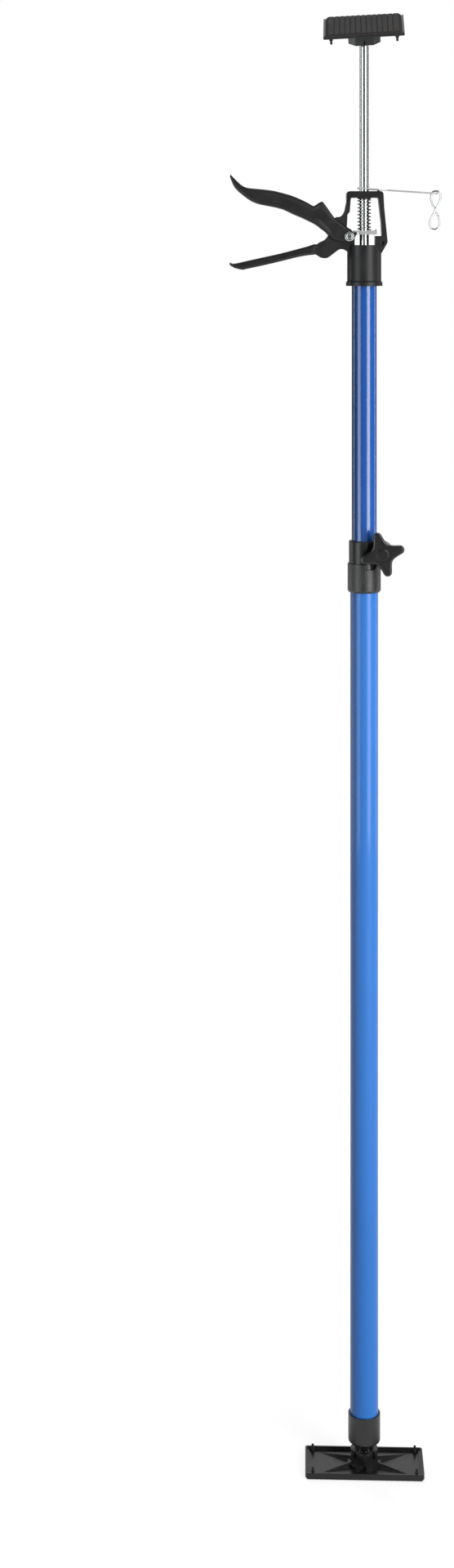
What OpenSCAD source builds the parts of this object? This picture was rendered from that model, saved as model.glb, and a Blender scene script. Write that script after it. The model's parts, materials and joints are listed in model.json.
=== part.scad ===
// Telescopic support pole: a foot and a head on ball studs, two clamped tubes,
// and a pump head that walks a plain rod upwards. Millimetres, +Z up.
// The origin is the middle of the sole's underside, on the pole's axis, and
// the pump handles point to -X.

/* [Tubes and rod] */
// Outer diameter of the lower tube
lower_tube_d = 30; // [28:0.5:33]
// Wall of both tubes
tube_wall = 1.2; // [1:0.1:1.4]
// Gap between the two tubes, on the radius
tube_gap = 0.3; // [0.2:0.05:0.5]
// Length of the lower tube
lower_tube_len = 934.5; // [800:0.5:1100]
// Length of the upper tube
upper_tube_len = 900; // [750:1:1050]
// Length of upper tube that shows above the clamp
tube_shown = 272; // [150:1:450]
// Diameter of the push rod
rod_d = 10; // [9:0.25:11]
// Travel that is left for the rod to sink from where it stands
rod_drop = 140; // [20:1:142]
// Length of rod that shows above the cage
rod_shown = 155.5; // [60:0.5:400]

/* [Foot] */
// Width of the foot plate
foot_w = 126; // [110:1:160]
// Depth of the foot plate
foot_d = 57; // [52:1:80]
// Thickness of the foot plate's floor
foot_floor_t = 2; // [1.5:0.1:3]
// Height of the rim above the floor
foot_rim_h = 3; // [2:0.1:5]
// Thickness of the rim
foot_rim_t = 2.2; // [1.5:0.1:3.5]
// Radius of the plate's corners
foot_corner_r = 3; // [2:0.5:4]
// Turn of the foot plate on its ball stud
foot_yaw = -2; // [-180:1:180]
// Width over the flats of the foot's hexagonal socket
foot_hub_flats = 28; // [26:0.5:32]
// Height of the socket above the floor
foot_hub_h = 16.4; // [15:0.2:20]
// Radius of the low plinth round the socket
foot_plinth_r = 17.6; // [17:0.2:20]
// Height of the plinth above the floor
foot_plinth_h = 2.6; // [1.5:0.1:4]
// Diameter of the foot's ball
foot_ball_d = 16; // [14:0.5:17]
// Height of the ball's middle above the foot's floor
foot_ball_rise = 9.5; // [9.2:0.1:10.5]
// Gap from the socket's top to the collar
foot_neck_gap = 7.6; // [6:0.2:12]

/* [Head] */
// Width of the head plate
head_w = 86; // [76:1:110]
// Depth of the head plate
head_d = 60; // [54:1:76]
// Thickness of the head plate's floor
head_floor_t = 1.8; // [1.5:0.1:3]
// Height of the two end rims above the floor
head_rim_h = 1.1; // [0.6:0.1:2]
// Thickness of the end rims
head_rim_t = 2.4; // [1.5:0.1:4]
// Lean of the head plate towards the front
head_tilt = 25; // [-30:1:30]
// Roll of the head plate, right side up
head_roll = 3; // [-6:0.5:6]
// Turn of the head plate about the rod
head_yaw = -2.8; // [-180:0.2:180]
// Width of the head's socket
head_hub_w = 34.4; // [33:0.2:40]
// Diameter of the head's ball
head_ball_d = 18; // [16:0.5:20]
// Depth of the head's socket below the ball's middle
head_hub_drop = 6.4; // [6:0.1:8]
// Height of the head's floor above the ball's middle
head_floor_rise = 8.5; // [8:0.1:11]

/* [Pads] */
// Thickness of the foot's rubber sole
sole_t = 2.5; // [2:0.1:5]
// Thickness of the head's rubber pad
pad_t = 3.4; // [2.5:0.1:6]
// Slope at the pads' two ends
pad_end_slope = 2.8; // [1:0.1:4]
// Slope along the pads' long edges
pad_edge_slope = 1.2; // [0.6:0.1:2]
// Pitch of the pad's strips
strip_pitch = 5.7; // [4:0.1:8]
// Width of the grooves between the strips
groove_w = 0.9; // [0.5:0.1:1.5]
// Depth of the grooves
groove_depth = 0.8; // [0.4:0.1:1.2]
// Diameter of a stud's tail
stud_d = 2.6; // [2:0.1:3.2]
// Height of a stud above the plate
stud_h = 7; // [5:0.5:9]
// Distance of the studs from the plate's ends
stud_inset_x = 8; // [7:0.5:12]
// Distance of the studs from the plate's long edges
stud_inset_y = 4.8; // [4.4:0.1:7]

/* [Lower fittings] */
// Wall of the foot collar round the tube
collar_wall = 2.1; // [1.5:0.1:3]
// Height of the foot collar
collar_h = 30.5; // [25:0.5:40]
// Thickness of the foot collar's floor
collar_floor_t = 4; // [3:0.5:6]
// Radius of the foot collar's lower edge
collar_round_r = 3; // [2:0.5:5]
// Height of the sleeve under the clamp
sleeve_h = 30.5; // [25:0.5:40]
// Wall of the grained sleeve
sleeve_wall = 1.5; // [1.2:0.1:2.5]
// Wall of the clamp's skirt under the sleeve
skirt_wall = 1.2; // [0.8:0.1:2]
// Height of the clamp ring
clamp_h = 24.3; // [20:0.1:30]
// Wall of the clamp ring
clamp_wall = 2.9; // [2.5:0.1:3.4]
// Height of the clamp's two ears
ear_h = 20.8; // [18:0.2:22]
// Reach of the ears past the screw
ear_reach = 13.2; // [11:0.2:16]
// Thickness over both ears
ears_t = 20.8; // [20.6:0.1:23]
// Slit between the ears
ear_slit = 2; // [1:0.1:3]
// Diameter of the clamp screw
screw_d = 6; // [5:0.5:6.5]
// Gap between the screw and the upper tube
screw_gap = 1.5; // [1:0.1:3]

/* [Star knob] */
// Radius over the knob's lobes
knob_tip_r = 23.8; // [20:0.2:28]
// Radius at the knob's waist
knob_waist_r = 12.4; // [11:0.2:14]
// Number of lobes
knob_lobes = 4; // [3:1:6]
// Turn of the knob
knob_turn = 16; // [0:1:90]
// Thickness of the knob
knob_t = 8; // [7:0.5:12]
// Gap from the clamp ring to the knob's back
knob_standoff = 4.1; // [4:0.1:8]
// Radius of the knob's round cap
cap_r = 6.6; // [6:0.1:8]

/* [Pump body] */
// Wall of the body's cylinder round the upper tube
body_wall = 4.7; // [3.5:0.1:5]
// Height of the body's cylinder, flange included
body_h = 43.6; // [40:0.2:48]
// Height of the flange
flange_h = 4.2; // [3:0.1:6]
// Reach of the flange past the cylinder
flange_reach = 1.3; // [0.8:0.1:2.2]
// Depth of the socket for the upper tube
socket_h = 30; // [26:0.5:31]
// Height of the cage above the cylinder
cage_h = 57.5; // [52:0.5:66]
// Thickness of the cage, front to back
cage_t = 17; // [16:0.5:19]
// Reach of the cage to the left of the axis
cage_left = 19.1; // [18.6:0.1:21]
// Reach of the cage to the right of the axis, at its top
cage_right = 20.2; // [19.4:0.1:22]
// Reach of the right post at its foot
cage_flare = 24.6; // [23.6:0.1:26]
// Height of the top beam
beam_t = 7; // [6:0.1:8]
// Radius of the cage's top corners
cage_corner_r = 3.4; // [2:0.1:4]
// Reach of the plate slot to the left of the axis
slot_left = 10.6; // [10.2:0.1:11]
// Reach of the plate slot to the right of the axis
slot_right = 11.4; // [10.6:0.1:12.4]
// Height of the block beside the slot
block_h = 9.7; // [8:0.1:10]
// Distance of the lever's pivot from the axis
pivot_x = 16.4; // [16:0.1:17]
// Height of the pivot above the cylinder's top
pivot_h = 9.1; // [8.8:0.1:9.6]

/* [Handles] */
// Reach of the two grips, from the pivot to their tips
grip_reach = 127; // [115:1:140]
// Thickness of the lever, front to back
lever_t = 24; // [23.4:0.2:28]
// Gap between the lever's cheeks and the body
cheek_gap = 0.3; // [0.2:0.05:0.4]
// Rounding of the grips' edges
grip_round_r = 3; // [1:0.1:4]
// Diameter of the rivet's shank
rivet_d = 5; // [4:0.2:6]
// Diameter of the rivet's rolled head
rivet_head_d = 10.2; // [9:0.2:11.6]

/* [Pump plates and spring] */
// Thickness of the drive plate
drive_plate_t = 2.8; // [2:0.1:3]
// Thickness of the spring plate
spring_plate_t = 1.4; // [1:0.1:2]
// Gap between the plates' holes and the rod, on the radius
plate_gap = 0.35; // [0.25:0.05:0.6]
// Rise of the drive plate above the cylinder's top
plate_rise = 11.3; // [11.1:0.1:11.8]
// Diameter of the spring's wire
wire_d = 1.6; // [1.2:0.1:1.9]
// Gap between the spring and the rod, on the radius
spring_gap = 0.9; // [0.6:0.1:1.4]
// Number of the spring's turns
spring_turns = 9; // [6:1:11]

/* [Lock lever and hook] */
// Reach of the strip to the right of the axis
strip_reach = 78.6; // [70:0.2:90]
// Reach of the strip to the left of the axis
strip_tail = 7; // [6.6:0.1:9]
// Thickness of the strip
strip_t = 1.5; // [1.2:0.1:2.5]
// Width of the strip round the rod
strip_w = 18; // [16:0.5:22]
// Width of the strip's arm
strip_arm_w = 11; // [9:0.5:14]
// Fall of the strip to the right
strip_fall = 3.8; // [2:0.2:4.2]
// Distance of the strip's fulcrum from the axis
nub_x = 15; // [13:0.1:16]
// Diameter of the hook's wire
hook_wire_d = 2; // [1.6:0.1:2.2]
// Height of the hook
hook_h = 43; // [36:0.5:60]
// Width of the hook's loops
hook_w = 12.2; // [11.6:0.2:14]
// Lean of the hanging hook
hook_lean = 3; // [0:0.5:6]

/* [Hidden] */
$fn = 72;

// Clearance of a running fit, on the radius
fit = 0.05;
// Gap between faces that move past each other
face_gap = 0.1;
// Overrun of the cuts
over = 1;

// Radii of the tubes and the rod
lower_r = lower_tube_d / 2;
lower_bore_r = lower_r - tube_wall;
upper_r = lower_bore_r - tube_gap;
upper_bore_r = upper_r - tube_wall;
rod_r = rod_d / 2;

// Levels of the foot
foot_floor_z = sole_t + foot_floor_t;
foot_hub_z = foot_floor_z + foot_hub_h;
foot_ball_z = foot_floor_z + foot_ball_rise;
collar_z = foot_hub_z + foot_neck_gap;
collar_r = lower_r + collar_wall;
lower_tube_z = collar_z + collar_floor_t;

// Ball studs and their sockets
socket_gap = 0.12;
neck_r = 3.5;
lip_rise = 4;
mouth_slope = 0.5;
stem_r = 5;
stem_h = 14;
stud_shoulder_r = 7;
stud_shoulder_t = 1.6;
finger_slit = 2;
drain_w = 2.4;

// Fins of the foot and the head, as shares of the plate and of the socket's height
fin_reach_share = [0.365, 0.36];
fin_rise_share = 0.43;
fin_t = 1.8;

// Outline of the head's socket, as shares of half its width
head_hub_share = [[0.56, -0.77], [1, -0.25], [1, 0.25], [0.56, 0.77],
    [-0.56, 0.77], [-1, 0.25], [-1, -0.25], [-0.56, -0.77]];
// Height of the pads' slopes, as a share of their thickness
pad_rise_share = 0.7;

// Studs of the pads
stud_barb_r = stud_d / 2 + 0.7;
stud_barb_share = 0.42;
stud_gap = 0.1;

// Levels of the clamp
clamp_z = lower_tube_z + lower_tube_len;
clamp_r = upper_r + clamp_wall;
skirt_r = lower_r + fit + skirt_wall;
sleeve_r = skirt_r + fit + sleeve_wall;
clamp_top = clamp_z + clamp_h;
screw_x = upper_r + screw_gap + screw_d / 2;
screw_z = clamp_z + clamp_h / 2;
nut_flats = screw_d + 4;
nut_t = 5;
clamp_bevel = 0.8;
slot_x = 1;
slot_w = 11.4;
slot_h = 5.6;
sleeve_bevel = 2;

// Depth of the knob's parts in front of the axis
knob_back = clamp_r + knob_standoff;
knob_boss_r = 5.2;
knob_bevel = 1.4;
knob_lobe_r = 4.6;
screw_head_r = screw_d / 2 + 2;
screw_head_t = 3;
cap_t = 1.2;

// Bush of the upper tube, and the floor of the rod's stop
stop_foot = 2;
bush_flange_h = 6;
bush_spigot_h = 20;
bush_wall = 1.8;

// Levels of the pump body
body_z = clamp_top + tube_shown;
body_r = upper_r + fit + body_wall;
flange_r = body_r + flange_reach;
tube_top = body_z + socket_h - 2;
body_top = body_z + body_h;
cage_top = body_top + cage_h;
beam_z = cage_top - beam_t;
pivot_z = body_top + pivot_h;
cage_bevel = 0.8;
rod_bush_r = rod_r + 2.5;
rod_bush_h = 11;
rod_bush_flange_t = 2;
rod_hole_gap = 0.35;
web_inset = 4;
boss_r = 7.2;
boss_h = 1.4;
rivet_pin_r = 2;
rivet_pin_head_r = 3.6;
rivet_pin_head_t = 1.2;

// Plates and spring
plate_z = body_top + plate_rise;
spring_plate_z = plate_z + drive_plate_t;
spring_z = spring_plate_z + spring_plate_t;
spring_top = beam_z - boss_h;
spring_r = rod_r + spring_gap + wire_d / 2;
spring_sides = 6;
spring_rings = 8;
plate_hole_r = rod_r + plate_gap;
plate_left = 5.3;
plate_right = 13.2;
plate_w = 15.4;
wing_reach = 11.4;
wing_w = lever_t - 1.2;
tab_x = 8.4;
tab_drop = 3.6;
tab_curl_r = 0.9;
curl_r = 1.8;

// Radius of the slot between the lever's cheeks
fork_r = 33;

// Lock lever
nub_r = 1.2;
nub_rise = 0.9;
nub_z = cage_top + nub_rise - nub_r;
strip_z = nub_r + 1.5 * face_gap;
strip_hole_r = rod_r + 0.6;
eye_r = 2.6;
eye_x = strip_reach - 6;

// Hook
hook_wire_r = hook_wire_d / 2;
hook_loop_r = hook_w / 2 - hook_wire_r;
hook_half = hook_h / 2 - hook_w / 2;

// Rod and head
rod_top = cage_top + rod_shown;
head_ball_r = head_ball_d / 2;
head_rod_gap = 1.8 + head_ball_r;
head_z = rod_top + head_rod_gap;
rod_bottom = tube_top - upper_tube_len + bush_spigot_h + stop_foot + rod_drop + 20 * face_gap;
rod_len = rod_top - rod_bottom;
stop_r = upper_bore_r - tube_gap;
stop_h = 10;

// Colours
black_plastic = [0.17, 0.17, 0.18];
grained_black = [0.24, 0.24, 0.25];
pad_grey = [0.36, 0.35, 0.35];
tube_blue = [0.13, 0.33, 0.72];
plated_steel = [0.76, 0.77, 0.78];

function unit(v) = v / norm(v);

// Points along a smooth curve through the given points, ends included
function smooth(p, steps) = concat(
    [for (i = [0 : len(p) - 2], k = [0 : steps - 1]) let (
        a = p[max(i - 1, 0)], b = p[i], c = p[i + 1], d = p[min(i + 2, len(p) - 1)], t = k / steps)
        b + (c - a) / 2 * t + (2 * a - 5 * b + 4 * c - d) / 2 * t * t
          + (3 * b - a - 3 * c + d) / 2 * t * t * t],
    [p[len(p) - 1]]);

// Points on an arc, both ends included
function arc(centre, r, from, to, steps) =
    [for (k = [0 : steps]) let (a = from + (to - from) * k / steps)
        centre + r * [cos(a), sin(a)]];

// A closed outline, drawn in by a distance along its corners' bisectors
function drawn_in(p, d) = [for (i = [0 : len(p) - 1]) let (
    n = len(p), u = unit(p[i] - p[(i + n - 1) % n]), v = unit(p[(i + 1) % n] - p[i]),
    m = unit([-u.y - v.y, u.x + v.x])) p[i] + m * d / max(m * [-u.y, u.x], 0.6)];

function middle(ring) = [for (i = [0 : len(ring) - 1]) 1] * ring / len(ring);

// A closed skin over rings of points, each end shut by a fan from its middle
module loft(rings) {
    n = len(rings[0]);
    m = len(rings);
    polyhedron(concat([for (r = rings) each r], [middle(rings[0]), middle(rings[m - 1])]),
        concat([for (i = [0 : m - 2], k = [0 : n - 1]) let (l = (k + 1) % n,
            a = i * n + k, b = i * n + l, c = (i + 1) * n + l, d = (i + 1) * n + k)
            each [[a, b, c], [a, c, d]]],
        [for (k = [0 : n - 1]) [m * n, (k + 1) % n, k]],
        [for (k = [0 : n - 1]) [m * n + 1, (m - 1) * n + k, (m - 1) * n + (k + 1) % n]]));
}

// One section of a grip between a point on its back and one on its underside:
// a rounded box with a shallow channel along each side. Its station holds both
// points, then the half width and the channel's depth.
function grip_section(s) = let (
    top = [s[0], s[1]], under = [s[2], s[3]], h = norm(top - under), up = unit(top - under),
    r = min(grip_round_r, 0.4 * h, 0.4 * s[4]), c = max(r, h / 4),
    quarter = [for (k = [0 : 3]) r * [sin(30 * k), cos(30 * k)]],
    half = concat(
        [for (q = quarter) [s[4] - r + q.x, h - r + q.y]],
        [[s[4] - s[5], h - c - s[5]], [s[4] - s[5], c + s[5]]],
        [for (k = [3 : -1 : 0]) [s[4] - r + quarter[k].x, r - quarter[k].y]]),
    both = concat(half, [for (k = [len(half) - 1 : -1 : 0]) [-half[k].x, half[k].y]]))
    [for (q = both) [under.x + up.x * q.y, q.x, under.y + up.y * q.y]];

// A plain extrusion of an outline in X and Z, centred front to back
module upright(t) {
    translate([0, t / 2, 0]) rotate([90, 0, 0]) linear_extrude(t) children();
}

module ring(r, bore, h) {
    difference() {
        cylinder(r = r, h = h);
        translate([0, 0, -over]) cylinder(r = bore, h = h + 2 * over);
    }
}

// A rectangle with round corners
module round_rect(w, d, r) {
    square([w - 2 * r, d], center = true);
    square([w, d - 2 * r], center = true);
    for (x = [r - w / 2, w / 2 - r], y = [r - d / 2, d / 2 - r]) translate([x, y]) circle(r);
}

// A pad that widens upwards to its back, with grooves across its face at z = 0
module ribbed_pad(w, d, t) {
    end = pad_end_slope;
    edge = pad_edge_slope;
    rise = pad_rise_share * t;
    strips = floor((w / 2 - end) / strip_pitch);
    difference() {
        intersection() {
            upright(d) polygon([[end - w / 2, 0], [w / 2 - end, 0], [w / 2, rise],
                [w / 2, t], [-w / 2, t], [-w / 2, rise]]);
            rotate([0, 0, 90]) upright(w) polygon([[edge - d / 2, 0], [d / 2 - edge, 0],
                [d / 2, rise], [d / 2, t], [-d / 2, t], [-d / 2, rise]]);
        }
        for (k = [-strips : strips - 1]) translate([(k + 1 / 2) * strip_pitch, 0, 0])
            cube([groove_w, d + 2 * over, 2 * groove_depth], center = true);
    }
}

// Places of the four studs on a plate
module at_studs(w, d) {
    for (x = [-1, 1], y = [-1, 1])
        translate([x * (w / 2 - stud_inset_x), y * (d / 2 - stud_inset_y), 0]) children();
}

// A stud that is pulled through its hole from the pad's back
module stud(floor_t) {
    cylinder(d = stud_d, h = floor_t + stud_h, $fn = 24);
    translate([0, 0, floor_t]) cylinder(r = stud_barb_r, h = stud_barb_share * stud_h, $fn = 24);
}

// Four fins from a socket to the plate's corners, standing on z = 0
module fins(w, d, rise) {
    reach = [w * fin_reach_share.x, d * fin_reach_share.y];
    for (x = [-1, 1], y = [-1, 1]) rotate([0, 0, atan2(y * reach.y, x * reach.x)])
        upright(fin_t) polygon([[0, 0], [norm(reach), 0], [0, rise]]);
}

// The cavity of a ball socket that opens upwards, about the ball's middle
module socket_cavity(ball_r, top) {
    lip_r = sqrt(pow(ball_r + socket_gap, 2) - lip_rise * lip_rise);
    sphere(r = ball_r + socket_gap);
    translate([0, 0, lip_rise])
        cylinder(r1 = lip_r, r2 = lip_r + (top + over - lip_rise) / mouth_slope / 2,
            h = top + over - lip_rise);
    cylinder(r = lip_r, h = lip_rise + over);
}

// A ball stud with its ball at the origin and its stem upwards
module ball_stud(ball_r, shoulder_z, stem_top) {
    difference() {
        union() {
            sphere(r = ball_r);
            cylinder(r = neck_r, h = stem_top);
            translate([0, 0, shoulder_z]) cylinder(r = stud_shoulder_r, h = stud_shoulder_t);
            translate([0, 0, shoulder_z]) cylinder(r = stem_r, h = stem_top - shoulder_z);
        }
        translate([0, 0, -ball_r - over]) cylinder(r = neck_r, h = over + ball_r / 8);
    }
}

module foot_pad() color(pad_grey) rotate([0, 0, foot_yaw]) {
    ribbed_pad(foot_w - foot_rim_t, foot_d - foot_rim_t, sole_t);
    translate([0, 0, sole_t]) at_studs(foot_w, foot_d) stud(foot_floor_t);
}

module foot_plate() color(black_plastic) rotate([0, 0, foot_yaw]) {
    hub_r = foot_hub_flats / sqrt(3);
    mouth_r = foot_hub_flats / 2 + 0.4;
    mouth_h = 3;
    difference() {
        union() {
            translate([0, 0, sole_t]) linear_extrude(foot_floor_t + foot_rim_h)
                round_rect(foot_w, foot_d, foot_corner_r);
        }
        translate([0, 0, foot_floor_z]) linear_extrude(foot_rim_h + over)
            round_rect(foot_w - 4 * foot_rim_t, foot_d - 4 * foot_rim_t, foot_corner_r / 2);
        translate([0, 0, foot_floor_z + foot_rim_h / 2]) linear_extrude(foot_rim_h)
            round_rect(foot_w - 2 * foot_rim_t, foot_d - 2 * foot_rim_t, foot_corner_r / 2);
        at_studs(foot_w, foot_d) cylinder(d = stud_d + 2 * stud_gap, h = foot_floor_z + over);
        translate([0, 0, foot_floor_z + foot_rim_h / 4])
            at_studs(foot_w, foot_d) cylinder(r = stud_barb_r + stud_gap, h = foot_rim_h);
        translate([0, 0, foot_ball_z]) sphere(d = foot_ball_d + 2 * socket_gap);
    }
    difference() {
        translate([0, 0, foot_floor_z]) {
            cylinder(r = foot_plinth_r, h = foot_plinth_h);
            rotate([0, 0, 30]) cylinder(r = hub_r, h = foot_hub_h - mouth_h / 2, $fn = 6);
            translate([0, 0, foot_hub_h - mouth_h]) cylinder(r = mouth_r, h = mouth_h);
            fins(foot_w, foot_d, foot_hub_h * fin_rise_share);
        }
        translate([0, 0, foot_ball_z])
            socket_cavity(foot_ball_d / 2, foot_hub_z - foot_ball_z);
        for (a = [45, 135]) rotate([0, 0, a]) translate([0, 0, foot_ball_z + foot_hub_h])
            cube([2 * hub_r + over, finger_slit, 2 * foot_hub_h], center = true);
        translate([0, -hub_r, foot_floor_z]) cube([drain_w, hub_r / 3, foot_hub_h / 2], center = true);
    }
}

module foot_ball() color(black_plastic) translate([0, 0, foot_ball_z])
    ball_stud(foot_ball_d / 2, collar_z - face_gap - stud_shoulder_t - foot_ball_z,
        collar_z + stem_h - foot_ball_z);

module foot_collar() color(grained_black) difference() {
    translate([0, 0, collar_z]) rotate_extrude() {
        square([collar_r - collar_round_r, collar_h]);
        translate([0, collar_round_r]) square([collar_r, collar_h - collar_round_r]);
        translate([collar_r - collar_round_r, collar_round_r]) intersection() {
            circle(collar_round_r);
            translate([0, -collar_round_r]) square(collar_round_r);
        }
    }
    translate([0, 0, lower_tube_z]) ring(lower_r + fit, lower_bore_r - fit, collar_h);
    translate([0, 0, lower_tube_z + stem_h]) cylinder(r = lower_r, h = collar_h);
    translate([0, 0, collar_z - over]) cylinder(r = stem_r + fit, h = stem_h + face_gap + over);
}

module lower_tube() color(tube_blue) translate([0, 0, lower_tube_z])
    ring(lower_r, lower_bore_r, lower_tube_len);

module tube_sleeve() color(grained_black) translate([0, 0, clamp_z - sleeve_h]) difference() {
    union() {
        cylinder(r1 = sleeve_r - sleeve_bevel / 2, r2 = sleeve_r, h = sleeve_bevel);
        translate([0, 0, sleeve_bevel]) cylinder(r = sleeve_r, h = sleeve_h - sleeve_bevel);
    }
    translate([0, 0, -over]) cylinder(r = skirt_r + fit, h = sleeve_h + 2 * over);
    translate([slot_x, -sleeve_r, sleeve_h - slot_h]) {
        upright(sleeve_r) square([slot_w - slot_h, slot_h + over]);
        translate([slot_w - slot_h, 0, slot_h]) upright(sleeve_r) circle(slot_h);
    }
}

// Outline of both ears, seen from the front
module ear_shape() {
    translate([upper_r, -ear_h / 2]) square([screw_x + ear_reach - upper_r - ear_h / 2, ear_h]);
    translate([screw_x + ear_reach - ear_h / 2, 0]) circle(ear_h / 2);
}

module clamp_collar() color(black_plastic) difference() {
    union() {
        translate([0, 0, clamp_z]) cylinder(r = clamp_r, h = clamp_h - clamp_bevel);
        translate([0, 0, clamp_top - clamp_bevel])
            cylinder(r1 = clamp_r, r2 = clamp_r - clamp_bevel, h = clamp_bevel);
        translate([0, 0, clamp_z - sleeve_h]) cylinder(r = skirt_r, h = sleeve_h);
        translate([0, 0, screw_z]) upright(ears_t) ear_shape();
    }
    translate([0, 0, clamp_z - sleeve_h - over]) cylinder(r = lower_r + fit, h = sleeve_h + over);
    translate([0, 0, clamp_z - over]) cylinder(r = upper_r + fit, h = clamp_h + 2 * over);
    translate([0, -ear_slit / 2, clamp_z])
        cube([screw_x + ear_reach + over, ear_slit, clamp_h + over]);
    translate([screw_x, 0, screw_z]) rotate([90, 0, 0]) {
        cylinder(d = screw_d + 4 * stud_gap, h = 2 * ears_t, center = true);
        translate([0, 0, -ears_t / 2 - over])
            cylinder(r = nut_flats / sqrt(3) + fit, h = nut_t + over, $fn = 6);
    }
}

module clamp_nut() color(plated_steel) translate([screw_x, ears_t / 2, screw_z])
    rotate([90, 0, 0]) difference() {
        cylinder(r = nut_flats / sqrt(3), h = nut_t, $fn = 6);
        translate([0, 0, -over]) cylinder(d = screw_d + 2 * fit, h = nut_t + 2 * over);
    }

module clamp_screw() color(plated_steel) translate([screw_x, 0, screw_z]) rotate([90, 0, 0]) {
    translate([0, 0, -ears_t / 2 - over])
        cylinder(d = screw_d, h = knob_back + knob_t / 2 + ears_t / 2 + over);
    translate([0, 0, knob_back + knob_t / 2])
        cylinder(r = screw_head_r, h = screw_head_t, $fn = 6);
}

// Outline of the star knob: round lobes, joined by hollows
function knob_quarter() = let (c = knob_tip_r - knob_lobe_r, half = 180 / knob_lobes) concat(
    [for (a = [-80 : 40 : 80]) [c + knob_lobe_r * cos(a), knob_lobe_r * sin(a)]],
    [[(c + knob_waist_r) / 2 - knob_bevel, knob_lobe_r + knob_bevel],
     knob_waist_r * [cos(half), sin(half)]],
    [let (q = [(c + knob_waist_r) / 2 - knob_bevel, -knob_lobe_r - knob_bevel])
        [q.x * cos(2 * half) - q.y * sin(2 * half), q.x * sin(2 * half) + q.y * cos(2 * half)]]);
function knob_outline() = let (n = len(knob_quarter()), p = [for (k = [0 : knob_lobes - 1],
        q = knob_quarter()) let (a = 360 * k / knob_lobes)
        [q.x * cos(a) - q.y * sin(a), q.x * sin(a) + q.y * cos(a)]],
    round = smooth(concat([p[len(p) - 1]], p, [p[0], p[1]]), 3))
    [for (i = [3 : len(round) - 5]) round[i]];

// Each ring of the knob's edge: its depth and how far it is drawn in
knob_edges = let (b = knob_bevel, h = knob_t / 2) [[-h, b], [-h + 0.3 * b, 0.4 * b],
    [-h + b, 0], [h - b, 0], [h - 0.3 * b, 0.4 * b], [h, b]];

module star_knob() color(black_plastic) translate([screw_x, 0, screw_z]) difference() {
    union() {
        translate([0, -knob_back - knob_t / 2, 0]) rotate([0, -knob_turn, 0])
            loft([for (e = knob_edges) [for (q = drawn_in(knob_outline(), e[1]))
                [q.x, e[0], q.y]]]);
        rotate([90, 0, 0]) translate([0, 0, ears_t / 2 + face_gap])
            cylinder(r = knob_boss_r, h = knob_back + knob_t / 2 - ears_t / 2 - face_gap);
    }
    rotate([90, 0, 0]) {
        cylinder(d = screw_d + 2 * fit, h = knob_back + knob_t);
        translate([0, 0, knob_back + knob_t / 2])
            cylinder(r = screw_head_r + fit, h = knob_t, $fn = 6);
        translate([0, 0, knob_back + knob_t - cap_t / 2]) cylinder(r = cap_r + fit, h = cap_t);
    }
}

module knob_cap() color(black_plastic) translate([screw_x, 0, screw_z]) rotate([90, 0, 0])
    translate([0, 0, knob_back + knob_t - cap_t / 2]) {
        cylinder(r = cap_r, h = cap_t);
        translate([0, 0, cap_t]) cylinder(r1 = cap_r, r2 = cap_r - cap_t / 2, h = cap_t / 2);
    }

module guide_bush() color(black_plastic) translate([0, 0, tube_top - upper_tube_len]) difference() {
    union() {
        translate([0, 0, -bush_flange_h - face_gap])
            cylinder(r = lower_bore_r - fit, h = bush_flange_h);
        translate([0, 0, -bush_flange_h])
            cylinder(r = upper_bore_r - fit, h = bush_flange_h + bush_spigot_h);
    }
    translate([0, 0, -bush_flange_h - over])
        cylinder(r = upper_bore_r - fit - bush_wall, h = bush_flange_h + bush_spigot_h + 2 * over);
}

module upper_tube() color(tube_blue) difference() {
    translate([0, 0, tube_top - upper_tube_len]) ring(upper_r, upper_bore_r, upper_tube_len);
    translate([0, 0, body_z + socket_h / 2]) rotate([-90, 0, 0])
        cylinder(r = rivet_pin_r, h = upper_r + over, $fn = 24);
}

// Stations of the lever from its tip to its nose, as shares of the grips' reach from the
// pivot: a point on its back, one on its underside, its half width, its channel's depth
lever_share = [
    [-0.997, 0.523, -1.002, 0.504, 0.045, 0], [-0.961, 0.484, -0.986, 0.461, 0.062, 0],
    [-0.909, 0.435, -0.958, 0.407, 0.075, 0], [-0.865, 0.412, -0.894, 0.348, 0.083, 0],
    [-0.803, 0.403, -0.82, 0.296, 0.086, 0], [-0.746, 0.398, -0.746, 0.269, 0.088, 0],
    [-0.635, 0.384, -0.66, 0.253, 0.09, 0.003], [-0.498, 0.348, -0.557, 0.228, 0.092, 0.006],
    [-0.406, 0.311, -0.471, 0.187, 0.093, 0.008], [-0.343, 0.28, -0.398, 0.157, 0.094, 0.009],
    [-0.298, 0.256, -0.346, 0.132, 0.094, 0.009], [-0.26, 0.28, -0.299, 0.109, 0.094, 0.009],
    [-0.23, 0.294, -0.265, 0.087, 0.094, 0.009], [-0.212, 0.279, -0.232, 0.063, 0.094, 0.009],
    [-0.17, 0.221, -0.195, 0.035, 0.094, 0.007], [-0.128, 0.162, -0.169, 0.004, 0.094, 0.004],
    [-0.085, 0.128, -0.146, -0.022, 0.094, 0], [-0.028, 0.085, -0.106, -0.036, 0.094, 0],
    [-0.004, 0.07, -0.067, -0.044, 0.094, 0], [0.016, 0.058, -0.028, -0.047, 0.094, 0],
    [0.032, 0.0368, 0.008, -0.048, 0.094, 0], [0.046, 0.0368, 0.043, -0.021, 0.094, 0],
    [0.059, 0.0368, 0.057, 0.018, 0.094, 0]];
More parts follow.
